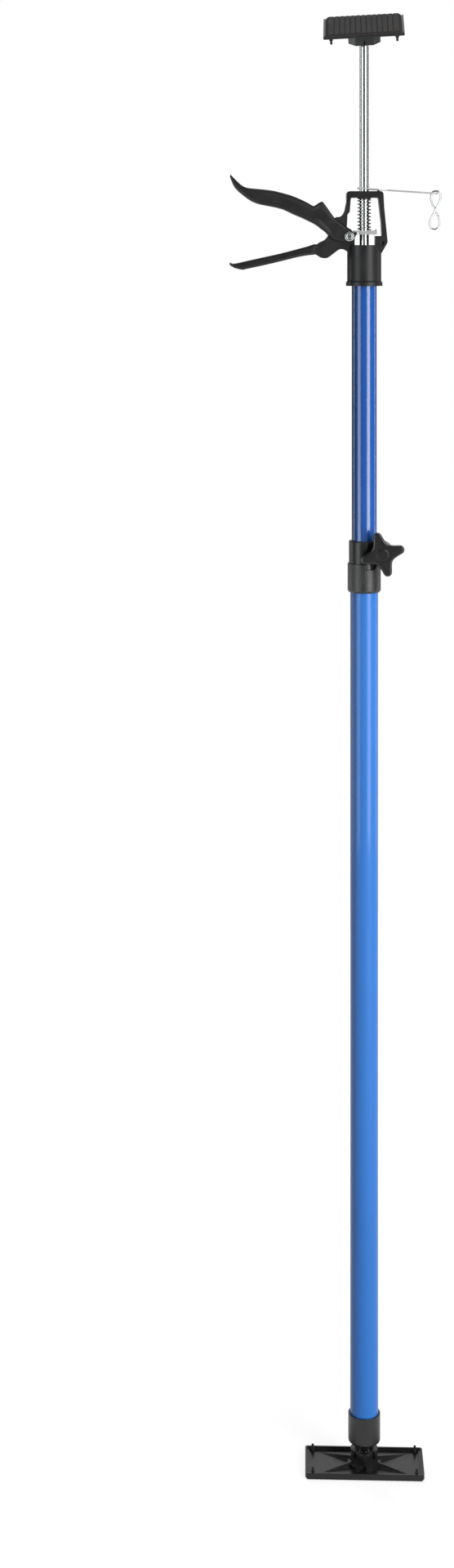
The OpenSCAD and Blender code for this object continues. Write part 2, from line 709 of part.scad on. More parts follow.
// Stations of the lower grip from its tip to the web
grip_share = [
    [-1.005, -0.215, -1.004, -0.24, 0.045, 0], [-0.978, -0.228, -0.965, -0.264, 0.062, 0],
    [-0.93, -0.221, -0.9, -0.28, 0.07, 0], [-0.86, -0.205, -0.862, -0.273, 0.074, 0],
    [-0.72, -0.174, -0.715, -0.242, 0.075, 0.003], [-0.574, -0.142, -0.56, -0.205, 0.076, 0.006],
    [-0.44, -0.107, -0.43, -0.173, 0.076, 0.007], [-0.34, -0.08, -0.345, -0.158, 0.075, 0.006],
    [-0.29, -0.064, -0.3, -0.154, 0.071, 0.003], [-0.22, -0.07, -0.22, -0.14, 0.055, 0]];
// The web in the crotch of the grips, from the left post round to the cylinder
web_share = [[-0.036, 0.217], [-0.054, 0.183], [-0.08, 0.165], [-0.119, 0.157],
    [-0.16, 0.09], [-0.17, 0.019], [-0.205, -0.028], [-0.245, -0.047], [-0.28, -0.076]];
bulge_share = [[-0.33, -0.115], [-0.33, -0.13], [-0.285, -0.148], [-0.255, -0.166],
    [-0.231, -0.179], [-0.187, -0.181], [-0.144, -0.153], [-0.093, -0.114],
    [-0.058, -0.106], [-0.024, -0.119], [0.004, -0.15], [0.03, -0.18]];

pivot = [-pivot_x, pivot_z];
function on_grip(shares) = [for (s = shares) pivot + s * grip_reach];
function stations(shares) = [for (s = smooth(shares, 2)) grip_section(
    [pivot.x, pivot.y, pivot.x, pivot.y, 0, 0] + s * grip_reach)];

module pump_lever() color(black_plastic) difference() {
    loft(stations(lever_share));
    translate([-pivot_x, 0, pivot_z]) rotate([90, 0, 0]) {
        cylinder(r = fork_r, h = cage_t + 2 * cheek_gap, center = true);
        cylinder(d = rivet_d + 2 * fit, h = lever_t + 2 * over, center = true);
    }
}

module pivot_rivet() color(plated_steel) translate([-pivot_x, 0, pivot_z]) rotate([90, 0, 0]) {
    head_t = 1.5;
    half = lever_t / 2 + face_gap;
    for (side = [0, 180]) rotate([side, 0, 0]) rotate_extrude() difference() {
        union() {
            square([rivet_d / 2, half + head_t]);
            translate([0, half]) square([rivet_head_d / 2 - head_t / 2, head_t]);
            translate([rivet_head_d / 2 - head_t / 2, half + head_t / 2]) circle(head_t / 2);
        }
        translate([-over, half - head_t]) square([rivet_d / 4 + over, 2 * head_t + over]);
        translate([rivet_d / 2 + head_t / 4, half + head_t]) circle(head_t / 3);
        translate([-head_t, -over]) square([head_t, half + 3 * head_t + over]);
    }
}

// Outline of the body's frame: right post, top beam, left post, web and lower grip
function frame_shape() = concat(
    [[body_r - web_inset, body_top - 8.4], [body_r, body_top - 8.4],
     [cage_flare - 1.2, body_top + 0.6], [cage_flare, body_top + 3.4],
     [cage_flare - 2.1, body_top + 24], [cage_right + 0.7, cage_top - 17]],
    arc([cage_right - cage_corner_r, cage_top - cage_corner_r], cage_corner_r, 0, 90, 6),
    arc([cage_corner_r - cage_left, cage_top - cage_corner_r], cage_corner_r, 90, 180, 6),
    [[-cage_left, cage_top - cage_corner_r - 8]],
    smooth(on_grip(web_share), 3),
    smooth(on_grip(bulge_share), 3),
    [[web_inset - body_r, body_top - 28], [body_r - web_inset, body_top - 28]]);

// The cage's window: its right side, its top and the stepped left post
function window_shape() = let (r = cage_corner_r / 2) concat(
    [[cage_flare - 6.1, body_top + block_h], [cage_right - 2.4, body_top + 24]],
    arc([cage_right - 5.2 - r, beam_z - r], r, 0, 90, 4),
    arc([4.3 + r - cage_left, beam_z - r], r, 90, 180, 4),
    [[3.3 - cage_left, beam_z - 15], [0.9 - cage_left, beam_z - 18],
     [0.2 - cage_left, pivot_z + 10.4], [-slot_left, pivot_z + 3.6],
     [-slot_left, body_top], [slot_right, body_top], [slot_right, body_top + block_h]]);

module pump_body() color(black_plastic) difference() {
    union() {
        translate([0, 0, body_z]) {
            cylinder(r = flange_r, h = flange_h);
            translate([0, 0, flange_h])
                cylinder(r1 = flange_r - flange_reach / 2, r2 = body_r, h = flange_h / 3);
            cylinder(r = body_r, h = body_h);
        }
        upright(cage_t) difference() {
            polygon(frame_shape());
            polygon(window_shape());
        }
        translate([0, 0, beam_z - boss_h]) cylinder(r = boss_r, h = boss_h + over);
        translate([nub_x, 0, nub_z]) rotate([90, 0, 0])
            cylinder(r = nub_r, h = cage_t - 2 * cage_bevel, center = true, $fn = 32);
        loft(stations(grip_share));
    }
    translate([0, 0, body_z - over]) cylinder(r = upper_r + fit, h = socket_h + over);
    translate([0, 0, body_z]) cylinder(r = rod_bush_r + fit, h = socket_h + rod_bush_h);
    cylinder(r = rod_r + rod_hole_gap, h = cage_top + over);
    translate([-pivot_x, 0, pivot_z]) rotate([90, 0, 0])
        cylinder(d = rivet_d + fit, h = cage_t + 2 * over, center = true);
    translate([0, 0, body_z + socket_h / 2]) rotate([-90, 0, 0])
        cylinder(r = rivet_pin_r + fit, h = body_r + over, $fn = 24);
    for (y = [-1, 1]) translate([0, y * cage_t / 2, 0]) upright(cage_t / 3)
        polygon([[cage_flare - 6, body_top + 5], [cage_flare - 3.2, body_top + 3],
            [cage_flare - 6, body_top - 2.4]]);
}

module body_rivet() color(plated_steel) translate([0, 0, body_z + socket_h / 2])
    rotate([-90, 0, 0]) {
        translate([0, 0, upper_bore_r]) cylinder(r = rivet_pin_r - fit, $fn = 24,
            h = body_r - upper_bore_r);
        translate([0, 0, body_r]) cylinder(r1 = rivet_pin_head_r,
            r2 = rivet_pin_head_r - rivet_pin_head_t, h = rivet_pin_head_t);
    }

module rod_bush() color(grained_black) translate([0, 0, tube_top]) difference() {
    union() {
        cylinder(r = upper_r - fit, h = rod_bush_flange_t);
        cylinder(r = rod_bush_r, h = rod_bush_flange_t + rod_bush_h);
    }
    translate([0, 0, -over])
        cylinder(r = rod_r + fit, h = rod_bush_flange_t + rod_bush_h + 2 * over);
}

module drive_plate() color(plated_steel) translate([0, 0, plate_z]) difference() {
    translate([-plate_left, -plate_w / 2, 0])
        cube([plate_left + plate_right, plate_w, drive_plate_t]);
    translate([0, 0, -over]) cylinder(r = plate_hole_r, h = drive_plate_t + 2 * over);
}

// Side view of the spring plate: its tab on the left, its curled end on the right
module spring_plate() color(plated_steel) translate([0, 0, spring_plate_z]) difference() {
    union() {
        translate([-wing_reach, -plate_w / 2, 0])
            cube([wing_reach + plate_right, plate_w, spring_plate_t]);
        translate([-wing_reach, -wing_w / 2, 0])
            cube([wing_reach - plate_left, wing_w, spring_plate_t]);
        translate([-tab_x, 0, -tab_drop]) upright(plate_w / 2)
            square([tab_curl_r, tab_drop + spring_plate_t / 2]);
        translate([-tab_x - tab_curl_r, 0, -tab_drop]) upright(plate_w / 2)
            square([2 * tab_curl_r, tab_curl_r]);
        translate([plate_right, 0, spring_plate_t]) upright(plate_w)
            translate([-spring_plate_t, -spring_plate_t / 2])
                square([spring_plate_t, curl_r]);
    }
    translate([0, 0, -over]) cylinder(r = plate_hole_r, h = spring_plate_t + 2 * over);
}

// The spring's path: its turns, with flat quarters and straight ends
spring_rise = spring_top - spring_z - wire_d - 4 * face_gap;
spring_steps = spring_turns * spring_rings;
spring_flat_share = 1 / 4;
function spring_level(t) = let (f = spring_flat_share / spring_turns)
    t < f ? 0 : t > 1 - f ? 1 : (t - f) / (1 - 2 * f);
spring_coil = [for (k = [0 : spring_steps]) let (a = 360 * k / spring_rings, t = k / spring_steps)
    [spring_r * cos(a), spring_r * sin(a), spring_rise * spring_level(t)]];
spring_path = concat(
    [spring_coil[0] - [0, wire_d, 0]], spring_coil,
    [spring_coil[spring_steps] + [0, wire_d, 0]]);
spring_gap_least = min([for (i = [0 : spring_steps], j = [i + spring_rings / 2 : spring_steps])
    norm(spring_coil[i] - spring_coil[j])]) - wire_d;
echo(spring_gap_least = spring_gap_least);

// A tube swept along a path that climbs round the Z axis
module swept_tube(path, r, sides) {
    n = len(path);
    rings = [for (i = [0 : n - 1]) let (
        t = unit(path[min(i + 1, n - 1)] - path[max(i - 1, 0)]),
        out = unit([t.y, -t.x, 0]), up = cross(out, t))
        [for (k = [0 : sides - 1]) let (a = 360 * k / sides)
            path[i] + r * (cos(a) * out + sin(a) * up)]];
    quads = [for (i = [0 : n - 2], k = [0 : sides - 1]) let (l = (k + 1) % sides,
        a = i * sides + k, b = i * sides + l, c = (i + 1) * sides + l, d = (i + 1) * sides + k)
        each [[a, b, c], [a, c, d]]];
    polyhedron([for (r = rings) each r], concat(quads,
        [[for (k = [sides - 1 : -1 : 0]) k]], [[for (k = [0 : sides - 1]) (n - 1) * sides + k]]));
}

module drive_spring() color(plated_steel)
    translate([0, 0, spring_z + wire_d / 2 + 2 * face_gap])
        swept_tube(spring_path, wire_d / 2, spring_sides);

module lock_lever() color(plated_steel) translate([nub_x, 0, nub_z]) rotate([0, strip_fall, 0])
    translate([-nub_x, 0, strip_z]) difference() {
        linear_extrude(strip_t) {
            translate([-strip_tail, -strip_w / 2]) square([strip_tail + nub_x, strip_w]);
            polygon([[nub_x, -strip_w / 2], [nub_x + strip_w / 2, -strip_arm_w / 2],
                [strip_reach - strip_arm_w / 2, -strip_arm_w / 2],
                [strip_reach - strip_arm_w / 2, strip_arm_w / 2],
                [nub_x + strip_w / 2, strip_arm_w / 2], [nub_x, strip_w / 2]]);
            translate([strip_reach - strip_arm_w / 2, 0]) circle(strip_arm_w / 2);
        }
        translate([0, 0, -over]) cylinder(r = strip_hole_r, h = strip_t + 2 * over);
        translate([eye_x, 0, -over]) cylinder(r = eye_r, h = strip_t + 2 * over);
    }

// One loop of the hook, with the leg that closes it, above the middle
module hook_loop() {
    slope = asin(hook_loop_r / hook_half);
    leg = sqrt(hook_half * hook_half - hook_loop_r * hook_loop_r);
    translate([0, 0, hook_half]) rotate([90, 0, 0]) rotate([0, 0, -slope])
        rotate_extrude(angle = 180 + 2 * slope) translate([hook_loop_r, 0])
            circle(hook_wire_r, $fn = 24);
    rotate([0, slope, 0]) cylinder(r = hook_wire_r, h = leg, $fn = 24);
    rotate([0, -slope, 0]) translate([0, 0, 1.2 * hook_wire_d])
        cylinder(r = hook_wire_r, h = leg - 1.2 * hook_wire_d, $fn = 24);
}

// The hook hangs on the bar of strip between its eye and its end
bar_x = (eye_x + eye_r + strip_reach) / 2;
bar_place = [nub_x + (bar_x - nub_x) * cos(strip_fall) + (strip_z + strip_t) * sin(strip_fall),
    nub_z - (bar_x - nub_x) * sin(strip_fall) + (strip_z + strip_t) * cos(strip_fall)];
hook_top_gap = 0.9;

module s_hook() color(plated_steel)
    translate([bar_place.x, 0, bar_place.y + hook_top_gap]) rotate([0, hook_lean, 0])
        translate([0, 0, hook_wire_d - hook_h / 2]) {
            hook_loop();
            rotate([0, 180, 0]) hook_loop();
        }

module push_rod() color(plated_steel) difference() {
    translate([0, 0, rod_bottom]) cylinder(r = rod_r, h = rod_len);
    translate([0, 0, rod_top - stem_h]) cylinder(r = neck_r + fit, h = stem_h + over);
}

module rod_stop() color(grained_black) translate([0, 0, rod_bottom - stop_foot]) difference() {
    cylinder(r = stop_r, h = stop_h);
    translate([0, 0, stop_foot]) cylinder(r = rod_r + fit, h = stop_h);
}

module head_ball() color(black_plastic) translate([0, 0, head_z]) difference() {
    union() {
        sphere(r = head_ball_r);
        translate([0, 0, face_gap - head_rod_gap - stem_h])
            cylinder(r = neck_r, h = head_rod_gap + stem_h);
    }
    translate([0, 0, head_ball_r * 7 / 8]) cylinder(r = neck_r, h = head_ball_r);
}

// The head's pieces are drawn about its ball and leant to their place
module on_head() {
    translate([0, 0, head_z]) rotate([0, 0, head_yaw]) rotate([head_tilt, 0, 0])
        rotate([0, -head_roll, 0]) children();
}

module head_plate() color(black_plastic) on_head() {
    hub_r = head_hub_w / 2;
    difference() {
        union() {
            translate([0, 0, head_floor_rise]) linear_extrude(head_floor_t)
                round_rect(head_w, head_d, foot_corner_r / 2);
            for (x = [-1, 1]) translate([x * (head_w - head_rim_t) / 2, 0,
                head_floor_rise + (head_floor_t + head_rim_h) / 2])
                    cube([head_rim_t, head_d - foot_corner_r, head_floor_t + head_rim_h],
                        center = true);
        }
        translate([0, 0, head_floor_rise - over]) at_studs(head_w, head_d)
            cylinder(d = stud_d + 2 * stud_gap, h = head_floor_t + 2 * over);
        sphere(r = head_ball_r + socket_gap);
    }
    difference() {
        union() {
            translate([0, 0, -head_hub_drop])
                linear_extrude(head_hub_drop + head_floor_rise) polygon(
                    [for (q = head_hub_share) q * hub_r]);
            translate([0, 0, head_floor_rise]) rotate([180, 0, 0])
                fins(head_w, head_d, (head_hub_drop + head_floor_rise) * fin_rise_share);
        }
        rotate([180, 0, 0]) socket_cavity(head_ball_r, head_hub_drop);
        for (a = [0, 90]) rotate([0, 0, a]) translate([0, 0, -head_hub_drop])
            cube([2 * hub_r + over, finger_slit, 2 * head_hub_drop + finger_slit], center = true);
    }
}

module head_pad() color(pad_grey) on_head()
    translate([0, 0, head_floor_rise + head_floor_t + pad_t]) rotate([180, 0, 0]) {
        ribbed_pad(head_w - 2 * head_rim_t - 8 * face_gap, head_d - 8 * face_gap, pad_t);
        translate([0, 0, pad_t]) at_studs(head_w, head_d) stud(head_floor_t);
    }

foot_pad();
foot_plate();
foot_ball();
foot_collar();
lower_tube();
tube_sleeve();
clamp_collar();
clamp_screw();
clamp_nut();
star_knob();
knob_cap();
guide_bush();
upper_tube();
pump_body();
body_rivet();
rod_bush();
pump_lever();
pivot_rivet();
drive_plate();
spring_plate();
drive_spring();
lock_lever();
s_hook();
push_rod();
rod_stop();
head_ball();
head_plate();
head_pad();
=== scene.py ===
# %% [markdown]
# # A telescopic support pole
# The pole stands on a tilting foot, carries a tilting head, and is pumped up
# by squeezing two grips. Its solids come packed, already in place and sorted
# into moving bodies, so this lesson dresses them. The finishes come first, then
# the spring and the wire hook, and last the studio and the camera.

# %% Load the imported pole
import json
import math

import bmesh
import bpy
from mathutils import Matrix, Vector


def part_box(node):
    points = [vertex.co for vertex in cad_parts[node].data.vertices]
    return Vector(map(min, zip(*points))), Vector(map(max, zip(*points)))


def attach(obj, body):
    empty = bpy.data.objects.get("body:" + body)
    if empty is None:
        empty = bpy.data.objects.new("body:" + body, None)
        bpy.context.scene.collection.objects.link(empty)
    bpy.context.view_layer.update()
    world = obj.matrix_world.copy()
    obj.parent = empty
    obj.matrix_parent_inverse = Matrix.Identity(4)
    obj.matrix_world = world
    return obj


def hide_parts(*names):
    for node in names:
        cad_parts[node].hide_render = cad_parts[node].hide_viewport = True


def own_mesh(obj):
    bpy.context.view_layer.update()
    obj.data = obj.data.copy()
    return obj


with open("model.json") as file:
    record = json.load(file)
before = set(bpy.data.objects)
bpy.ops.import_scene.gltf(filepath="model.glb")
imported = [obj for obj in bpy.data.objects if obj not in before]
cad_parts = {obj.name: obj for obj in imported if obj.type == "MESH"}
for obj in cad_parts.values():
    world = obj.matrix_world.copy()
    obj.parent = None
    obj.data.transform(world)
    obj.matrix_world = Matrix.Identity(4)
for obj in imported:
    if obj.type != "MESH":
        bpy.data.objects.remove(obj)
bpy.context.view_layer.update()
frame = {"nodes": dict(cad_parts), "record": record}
nodes = frame["nodes"]

# %% [markdown]
# A finish is a small network of shader nodes. The nodes could be laid out by
# hand in the editor, but a script can be read and changed in one place. This
# helper adds one node: what comes from another node is linked, and a plain
# number or colour is set.

# %% Add one node
MM = 0.001


def add_node(tree, kind, settings, values, output=0):
    made = tree.nodes.new(kind)
    for key, value in settings.items():
        setattr(made, key, value)
    for key, value in values.items():
        if isinstance(value, bpy.types.NodeSocket):
            tree.links.new(value, made.inputs[key])
        else:
            made.inputs[key].default_value = value
    return made.outputs[output]


print("one millimetre in metres:", MM)

# %% [markdown]
# Much of a finish is sums, such as a roughness that rises a little where the
# skin is cloudy. The class below wraps one socket, so that such a sum is
# written as an ordinary one and adds the Math nodes that work it out.

# %% Sums of shader numbers
class Term:
    """A number that changes over a surface."""

    def __init__(self, finish, socket):
        self.finish, self.socket = finish, socket

    def _math(self, kind, a, b):
        return self.finish.node("ShaderNodeMath", {"operation": kind}, {0: a, 1: b})

    def __add__(self, other):
        return self._math("ADD", self, other)

    def __radd__(self, other):
        return self._math("ADD", other, self)

    def __mul__(self, other):
        return self._math("MULTIPLY", self, other)

    def __rmul__(self, other):
        return self._math("MULTIPLY", other, self)

    def most(self, other):
        """The larger of two numbers."""
        return self._math("MAXIMUM", self, other)

    def unsigned(self):
        """The number without its sign."""
        return self.finish.node("ShaderNodeMath", {"operation": "ABSOLUTE"}, {0: self})

    def over(self, low, high):
        """0 below low, 1 above high, straight between them."""
        return self.finish.node(
            "ShaderNodeMapRange", {}, {"Value": self, "From Min": low, "From Max": high}
        )


# %% [markdown]
# Every finish of the pole is one material with a Principled shader, and all
# patterns lie on the object's own coordinates, so they stay put when a piece
# moves and keep their size on long and short pieces alike. A picture could be
# wrapped round each piece instead, but it would stretch on the long tubes.

# %% One material
# Where the Mix node keeps its two colours and the blend of them.
MIX_ONE, MIX_OTHER, MIX_RESULT = 6, 7, 2


class Finish:
    """One material, made of a Principled shader and what feeds it."""

    def __init__(self, name):
        self.material = bpy.data.materials.new(name)
        self.material.use_nodes = True
        self.tree = self.material.node_tree
        self.shader = self.tree.nodes["Principled BSDF"]
        self.place = self.node("ShaderNodeTexCoord", {}, {}, "Object")

    def node(self, kind, settings, values, output=0):
        plain = {
            key: value.socket if isinstance(value, Term) else value
            for key, value in values.items()
        }
        return Term(self, add_node(self.tree, kind, settings, plain, output))

    def parts(self, kind, values):
        """Every output of a node that has several, by its name."""
        made = self.node(kind, {}, values).socket.node
        return {socket.name: Term(self, socket) for socket in made.outputs}

    def stretched(self, x=1, y=1, z=1):
        """The object's coordinates, squeezed or stretched along each axis."""
        return self.node(
            "ShaderNodeMapping", {}, {"Vector": self.place, "Scale": (x, y, z)}
        )

    def noise(self, size, detail, at=None):
        """Soft noise whose lumps are about this many metres wide."""
        return self.node(
            "ShaderNodeTexNoise",
            {},
            {"Vector": at or self.place, "Scale": 1 / size, "Detail": detail},
        )

    def between(self, share, one, other):
        """A colour that goes from one to the other as the share goes from 0 to 1."""
        return self.node(
            "ShaderNodeMix",
            {"data_type": "RGBA"},
            {"Factor": share, MIX_ONE: (*one, 1), MIX_OTHER: (*other, 1)},
            MIX_RESULT,
        )

    def bump(self, height, depth, strength, over=None):
        """Small relief; laid over another normal if one is given."""
        inputs = {"Height": height, "Distance": depth, "Strength": strength}
        if over:
            inputs["Normal"] = over
        return self.node("ShaderNodeBump", {}, inputs)

    def set(self, **sockets):
        """Feeds or fills the shader's sockets, which are named as words."""
        for name, value in sockets.items():
            key = name.replace("_", " ").title().replace("Ior", "IOR")
            if isinstance(value, Term):
                self.tree.links.new(value.socket, self.shader.inputs[key])
            elif isinstance(value, tuple):
                self.shader.inputs[key].default_value = (*value, 1)
            else:
                self.shader.inputs[key].default_value = value


# %% [markdown]
# Both tubes are powder coated. Powder melts into a skin with faint dimples,
# like orange peel, and gathers gloss where it flows out well. The dimples are
# far too small to model, so they are a bump, with a thin clear coat over it
# for the sharp reflections. The colour drifts slowly along the tube, and fine
# scuffs run lengthwise, because one tube slides in the other.

# %% Powder coat
ORANGE_PEEL, PEEL_DEPTH, PEEL_STRENGTH = 1.6 * MM, 0.02 * MM, 0.5
CLOUD, CLOUD_STRETCH = 60 * MM, 0.35
SCUFF, SCUFF_STRETCH = 2.5 * MM, 0.06
SCUFF_START, SCUFF_FULL = 0.63, 0.74
CLOUD_DULLS, SCUFF_DULLS = 0.06, 0.1


def powder_coat(name, deep, light, roughness, gloss, coat, coat_roughness):
    paint = Finish(name)
    peel = paint.noise(ORANGE_PEEL, detail=3)
    cloud = paint.noise(CLOUD, detail=3, at=paint.stretched(z=CLOUD_STRETCH))
    streaks = paint.noise(SCUFF, detail=4, at=paint.stretched(z=SCUFF_STRETCH))
    scuff = streaks.over(SCUFF_START, SCUFF_FULL)
    paint.set(
        base_color=paint.between(cloud, deep, light),
        roughness=roughness + CLOUD_DULLS * cloud + SCUFF_DULLS * scuff,
        coat_weight=coat,
        coat_roughness=coat_roughness,
        specular_ior_level=gloss,
        normal=paint.bump(peel, PEEL_DEPTH, PEEL_STRENGTH),
    )
    return paint.material


print("dimples across in mm:", round(ORANGE_PEEL / MM, 2))

# %% [markdown]
# The upper tube is the deeper and glossier blue, because it spends its life
# inside the other one. The lower tube is brighter and a little dulled by
# hands. Two calls with their own colours do both.

# %% The two blues
upper_blue = powder_coat(
    "upper_blue",
    deep=(0.013, 0.098, 0.41),
    light=(0.018, 0.118, 0.47),
    roughness=0.14,
    gloss=0.5,
    coat=0.5,
    coat_roughness=0.05,
)
lower_blue = powder_coat(
    "lower_blue",
    deep=(0.021, 0.188, 0.66),
    light=(0.027, 0.225, 0.75),
    roughness=0.42,
    gloss=0.28,
    coat=0.36,
    coat_roughness=0.07,
)
print("paints:", upper_blue.name, lower_blue.name)

# %% [markdown]
# The moulded pieces are near-black plastic. The mould leaves a fine spark
# texture, and handling polishes and dusts it unevenly. No moulded edge is
# sharp, but rounding every edge as a shape would cost many faces. The Bevel
# node bends the light at the edges instead, and leaves the solids alone.

# %% Moulded plastic
EDGE_ROUND, EDGE_SAMPLES = 0.6 * MM, 4
HANDLED, HANDLED_START, HANDLED_FULL = 22 * MM, 0.40, 0.66
DUST_GREY, DUST_SHARE = 0.04, 0.2
HANDLED_DULLS, SPARK_DULLS = 0.05, 0.06
SPARK_STRENGTH = 0.6


def moulded(name, colour, grain, depth, roughness, gloss, edge=EDGE_ROUND):
    plastic = Finish(name)
    spark = plastic.noise(grain, detail=3)
    touched = plastic.noise(HANDLED, detail=4)
    handled = touched.over(HANDLED_START, HANDLED_FULL)
    dusty = tuple(c + DUST_SHARE * (DUST_GREY - c) for c in colour)
    rounded = plastic.node(
        "ShaderNodeBevel", {"samples": EDGE_SAMPLES}, {"Radius": edge}
    )
    plastic.set(
        base_color=plastic.between(handled, colour, dusty),
        roughness=roughness + HANDLED_DULLS * handled + SPARK_DULLS * spark,
        specular_ior_level=gloss,
        normal=plastic.bump(spark, depth, SPARK_STRENGTH, rounded),
    )
    return plastic.material


print("edges rounded by mm:", round(EDGE_ROUND / MM, 2))

# %% [markdown]
# One recipe makes all the blacks. The foot, head and clamp are smooth, and the
# handles a little duller. The sleeves that are gripped have a coarse grain like
# leather. The knob is the glossiest and has the roundest edges, and the soles
# are dull rubber, a shade warmer than the plastic.

# %% The blacks
smooth_black = moulded(
    "smooth_black",
    colour=(0.008, 0.008, 0.009),
    grain=0.35 * MM,
    depth=0.03 * MM,
    roughness=0.24,
    gloss=0.34,
)
handle_black = moulded(
    "handle_black",
    colour=(0.009, 0.009, 0.010),
    grain=0.45 * MM,
    depth=0.05 * MM,
    roughness=0.34,
    gloss=0.28,
)
grained_black = moulded(
    "grained_black",
    colour=(0.011, 0.011, 0.012),
    grain=1.3 * MM,
    depth=0.50 * MM,
    roughness=0.30,
    gloss=0.50,
)
knob_black = moulded(
    "knob_black",
    colour=(0.008, 0.008, 0.009),
    grain=0.40 * MM,
    depth=0.03 * MM,
    roughness=0.14,
    gloss=0.5,
    edge=1.3 * MM,
)
pad_rubber = moulded(
    "pad_rubber",
    colour=(0.020, 0.017, 0.016),
    grain=0.9 * MM,
    depth=0.15 * MM,
    roughness=0.60,
    gloss=0.25,
)
print("blacks:", smooth_black.name, handle_black.name, grained_black.name)
print("and:", knob_black.name, pad_rubber.name)

# %% [markdown]
# The ball studs are steel, but blackened, so that they hide in their sockets.
# A black oxide skin has no bare metal to mirror the room, so the moulding
# recipe serves for it too, with a very fine grain.

# %% Blackened steel
black_oxide = moulded(
    "black_oxide",
    colour=(0.010, 0.010, 0.010),
    grain=0.5 * MM,
    depth=0.01 * MM,
    roughness=0.20,
    gloss=0.5,
)
print("ball studs:", black_oxide.name)

# %% [markdown]
# The bare steel is plated: bright and slightly cloudy. A plain chrome would
# look like a mirror, so faint scores break it up. On the rod they are
# squeezed along it, because the pump plates bite round it.

# %% Plated steel
BLOOM = 9 * MM
SCORE, SCORE_STRENGTH = 1.2 * MM, 0.4
BLOOM_DULLS, SCORE_DULLS = 0.06, 0.04


def plated(name, dark, bright, roughness, mark_depth, along=1):
    steel = Finish(name)
    bloom = steel.noise(BLOOM, detail=3)
    scored = steel.noise(SCORE, detail=3, at=steel.stretched(z=along))
    steel.set(
        base_color=steel.between(bloom, dark, bright),
        metallic=1.0,
        roughness=roughness + BLOOM_DULLS * bloom + SCORE_DULLS * scored,
        normal=steel.bump(scored, mark_depth, SCORE_STRENGTH),
    )
    return steel.material


print("scores apart in mm:", round(SCORE / MM, 2))

# %% [markdown]
# Each steel piece is plated in its own way. Rivets and the screw are bright
# zinc, the flat strips come dull from the plating barrel, and rod, hook and
# spring are drawn wire and bar, smooth enough to mirror the room.

# %% The steels
zinc = plated(
    "zinc",
    dark=(0.52, 0.53, 0.54),
    bright=(0.70, 0.71, 0.72),
    roughness=0.14,
    mark_depth=0.01 * MM,
)
strip_zinc = plated(
    "strip_zinc",
    dark=(0.30, 0.31, 0.31),
    bright=(0.40, 0.41, 0.41),
    roughness=0.50,
    mark_depth=0.02 * MM,
)
hook_wire = plated(
    "hook_wire",
    dark=(0.38, 0.39, 0.39),
    bright=(0.60, 0.61, 0.61),
    roughness=0.10,
    mark_depth=0.02 * MM,
)
drawn_rod = plated(
    "drawn_rod",
    dark=(0.44, 0.46, 0.45),
    bright=(0.60, 0.62, 0.61),
    roughness=0.11,
    mark_depth=0.01 * MM,
    along=6,
)
spring_wire = plated(
    "spring_wire",
    dark=(0.30, 0.30, 0.31),
    bright=(0.48, 0.48, 0.49),
    roughness=0.14,
    mark_depth=0.01 * MM,
)
print("steels:", zinc.name, strip_zinc.name, hook_wire.name)
print("and:", drawn_rod.name, spring_wire.name)

# %% [markdown]
# Every solid gets its finish by name, so a piece that is forgotten stops the
# script here instead of standing in plain grey in the picture.

# %% Give every solid its finish
FINISHES = {
    "foot_pad": pad_rubber,
    "foot_plate": smooth_black,
    "foot_ball": black_oxide,
    "foot_collar": grained_black,
    "lower_tube": lower_blue,
    "tube_sleeve": grained_black,
    "clamp_collar": smooth_black,
    "clamp_screw": zinc,
    "clamp_nut": zinc,
    "star_knob": knob_black,
    "knob_cap": knob_black,
    "guide_bush": smooth_black,
    "upper_tube": upper_blue,
    "pump_body": handle_black,
    "body_rivet": zinc,
    "rod_bush": grained_black,
    "pump_lever": handle_black,
    "pivot_rivet": zinc,
    "drive_plate": strip_zinc,
    "spring_plate": strip_zinc,
    "drive_spring": spring_wire,
    "lock_lever": strip_zinc,
    "s_hook": hook_wire,
    "push_rod": drawn_rod,
    "rod_stop": grained_black,
    "head_ball": black_oxide,
    "head_plate": smooth_black,
    "head_pad": pad_rubber,
}
for name, solid in nodes.items():
    solid.data.materials.clear()
    solid.data.materials.append(FINISHES[name])
print("finished solids:", len(nodes))

# %% [markdown]
# The pump's spring is 9 turns of 1.6 mm wire. It shortens when the plates
# climb, and a rigid solid can't. It could be wound afresh, but the packed
# solid already has the right coils, so it is copied and its loose triangles
# are joined.

# %% A copy of the spring
WELD = 0.01 * MM


def placed(name, data):
    """A new object in the scene, for a mesh, a curve, a lamp or a camera."""
    made = bpy.data.objects.new(name, data)
    bpy.context.scene.collection.objects.link(made)
    return made


def weld(mesh):
    """Joins the points that lie on each other, and shades the skin smooth."""
    form = bmesh.new()
    form.from_mesh(mesh)
    bmesh.ops.remove_doubles(form, verts=form.verts, dist=WELD)
    bmesh.ops.recalc_face_normals(form, faces=form.faces)
    for face in form.faces:
        face.smooth = True
    form.to_mesh(mesh)
    form.free()


coils = nodes["drive_spring"].data.copy()
coils.name = "wound_spring"
weld(coils)
spring = placed("wound_spring", coils)
print("spring points:", len(coils.vertices))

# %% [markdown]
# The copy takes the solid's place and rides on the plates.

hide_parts("drive_spring")
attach(spring, "plates")
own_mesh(spring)

# %% [markdown]
# The hook is one length of bright wire, bent into an eight. Each end is
# brought round until it lies against the leg that crosses the middle, a wire
# to the front of it or a wire behind, so the hook can be sprung open by hand.
# Only the front half is written down. The other is the same half turned over.

# %% The bends of the hook
WIRE_APART = 2.2
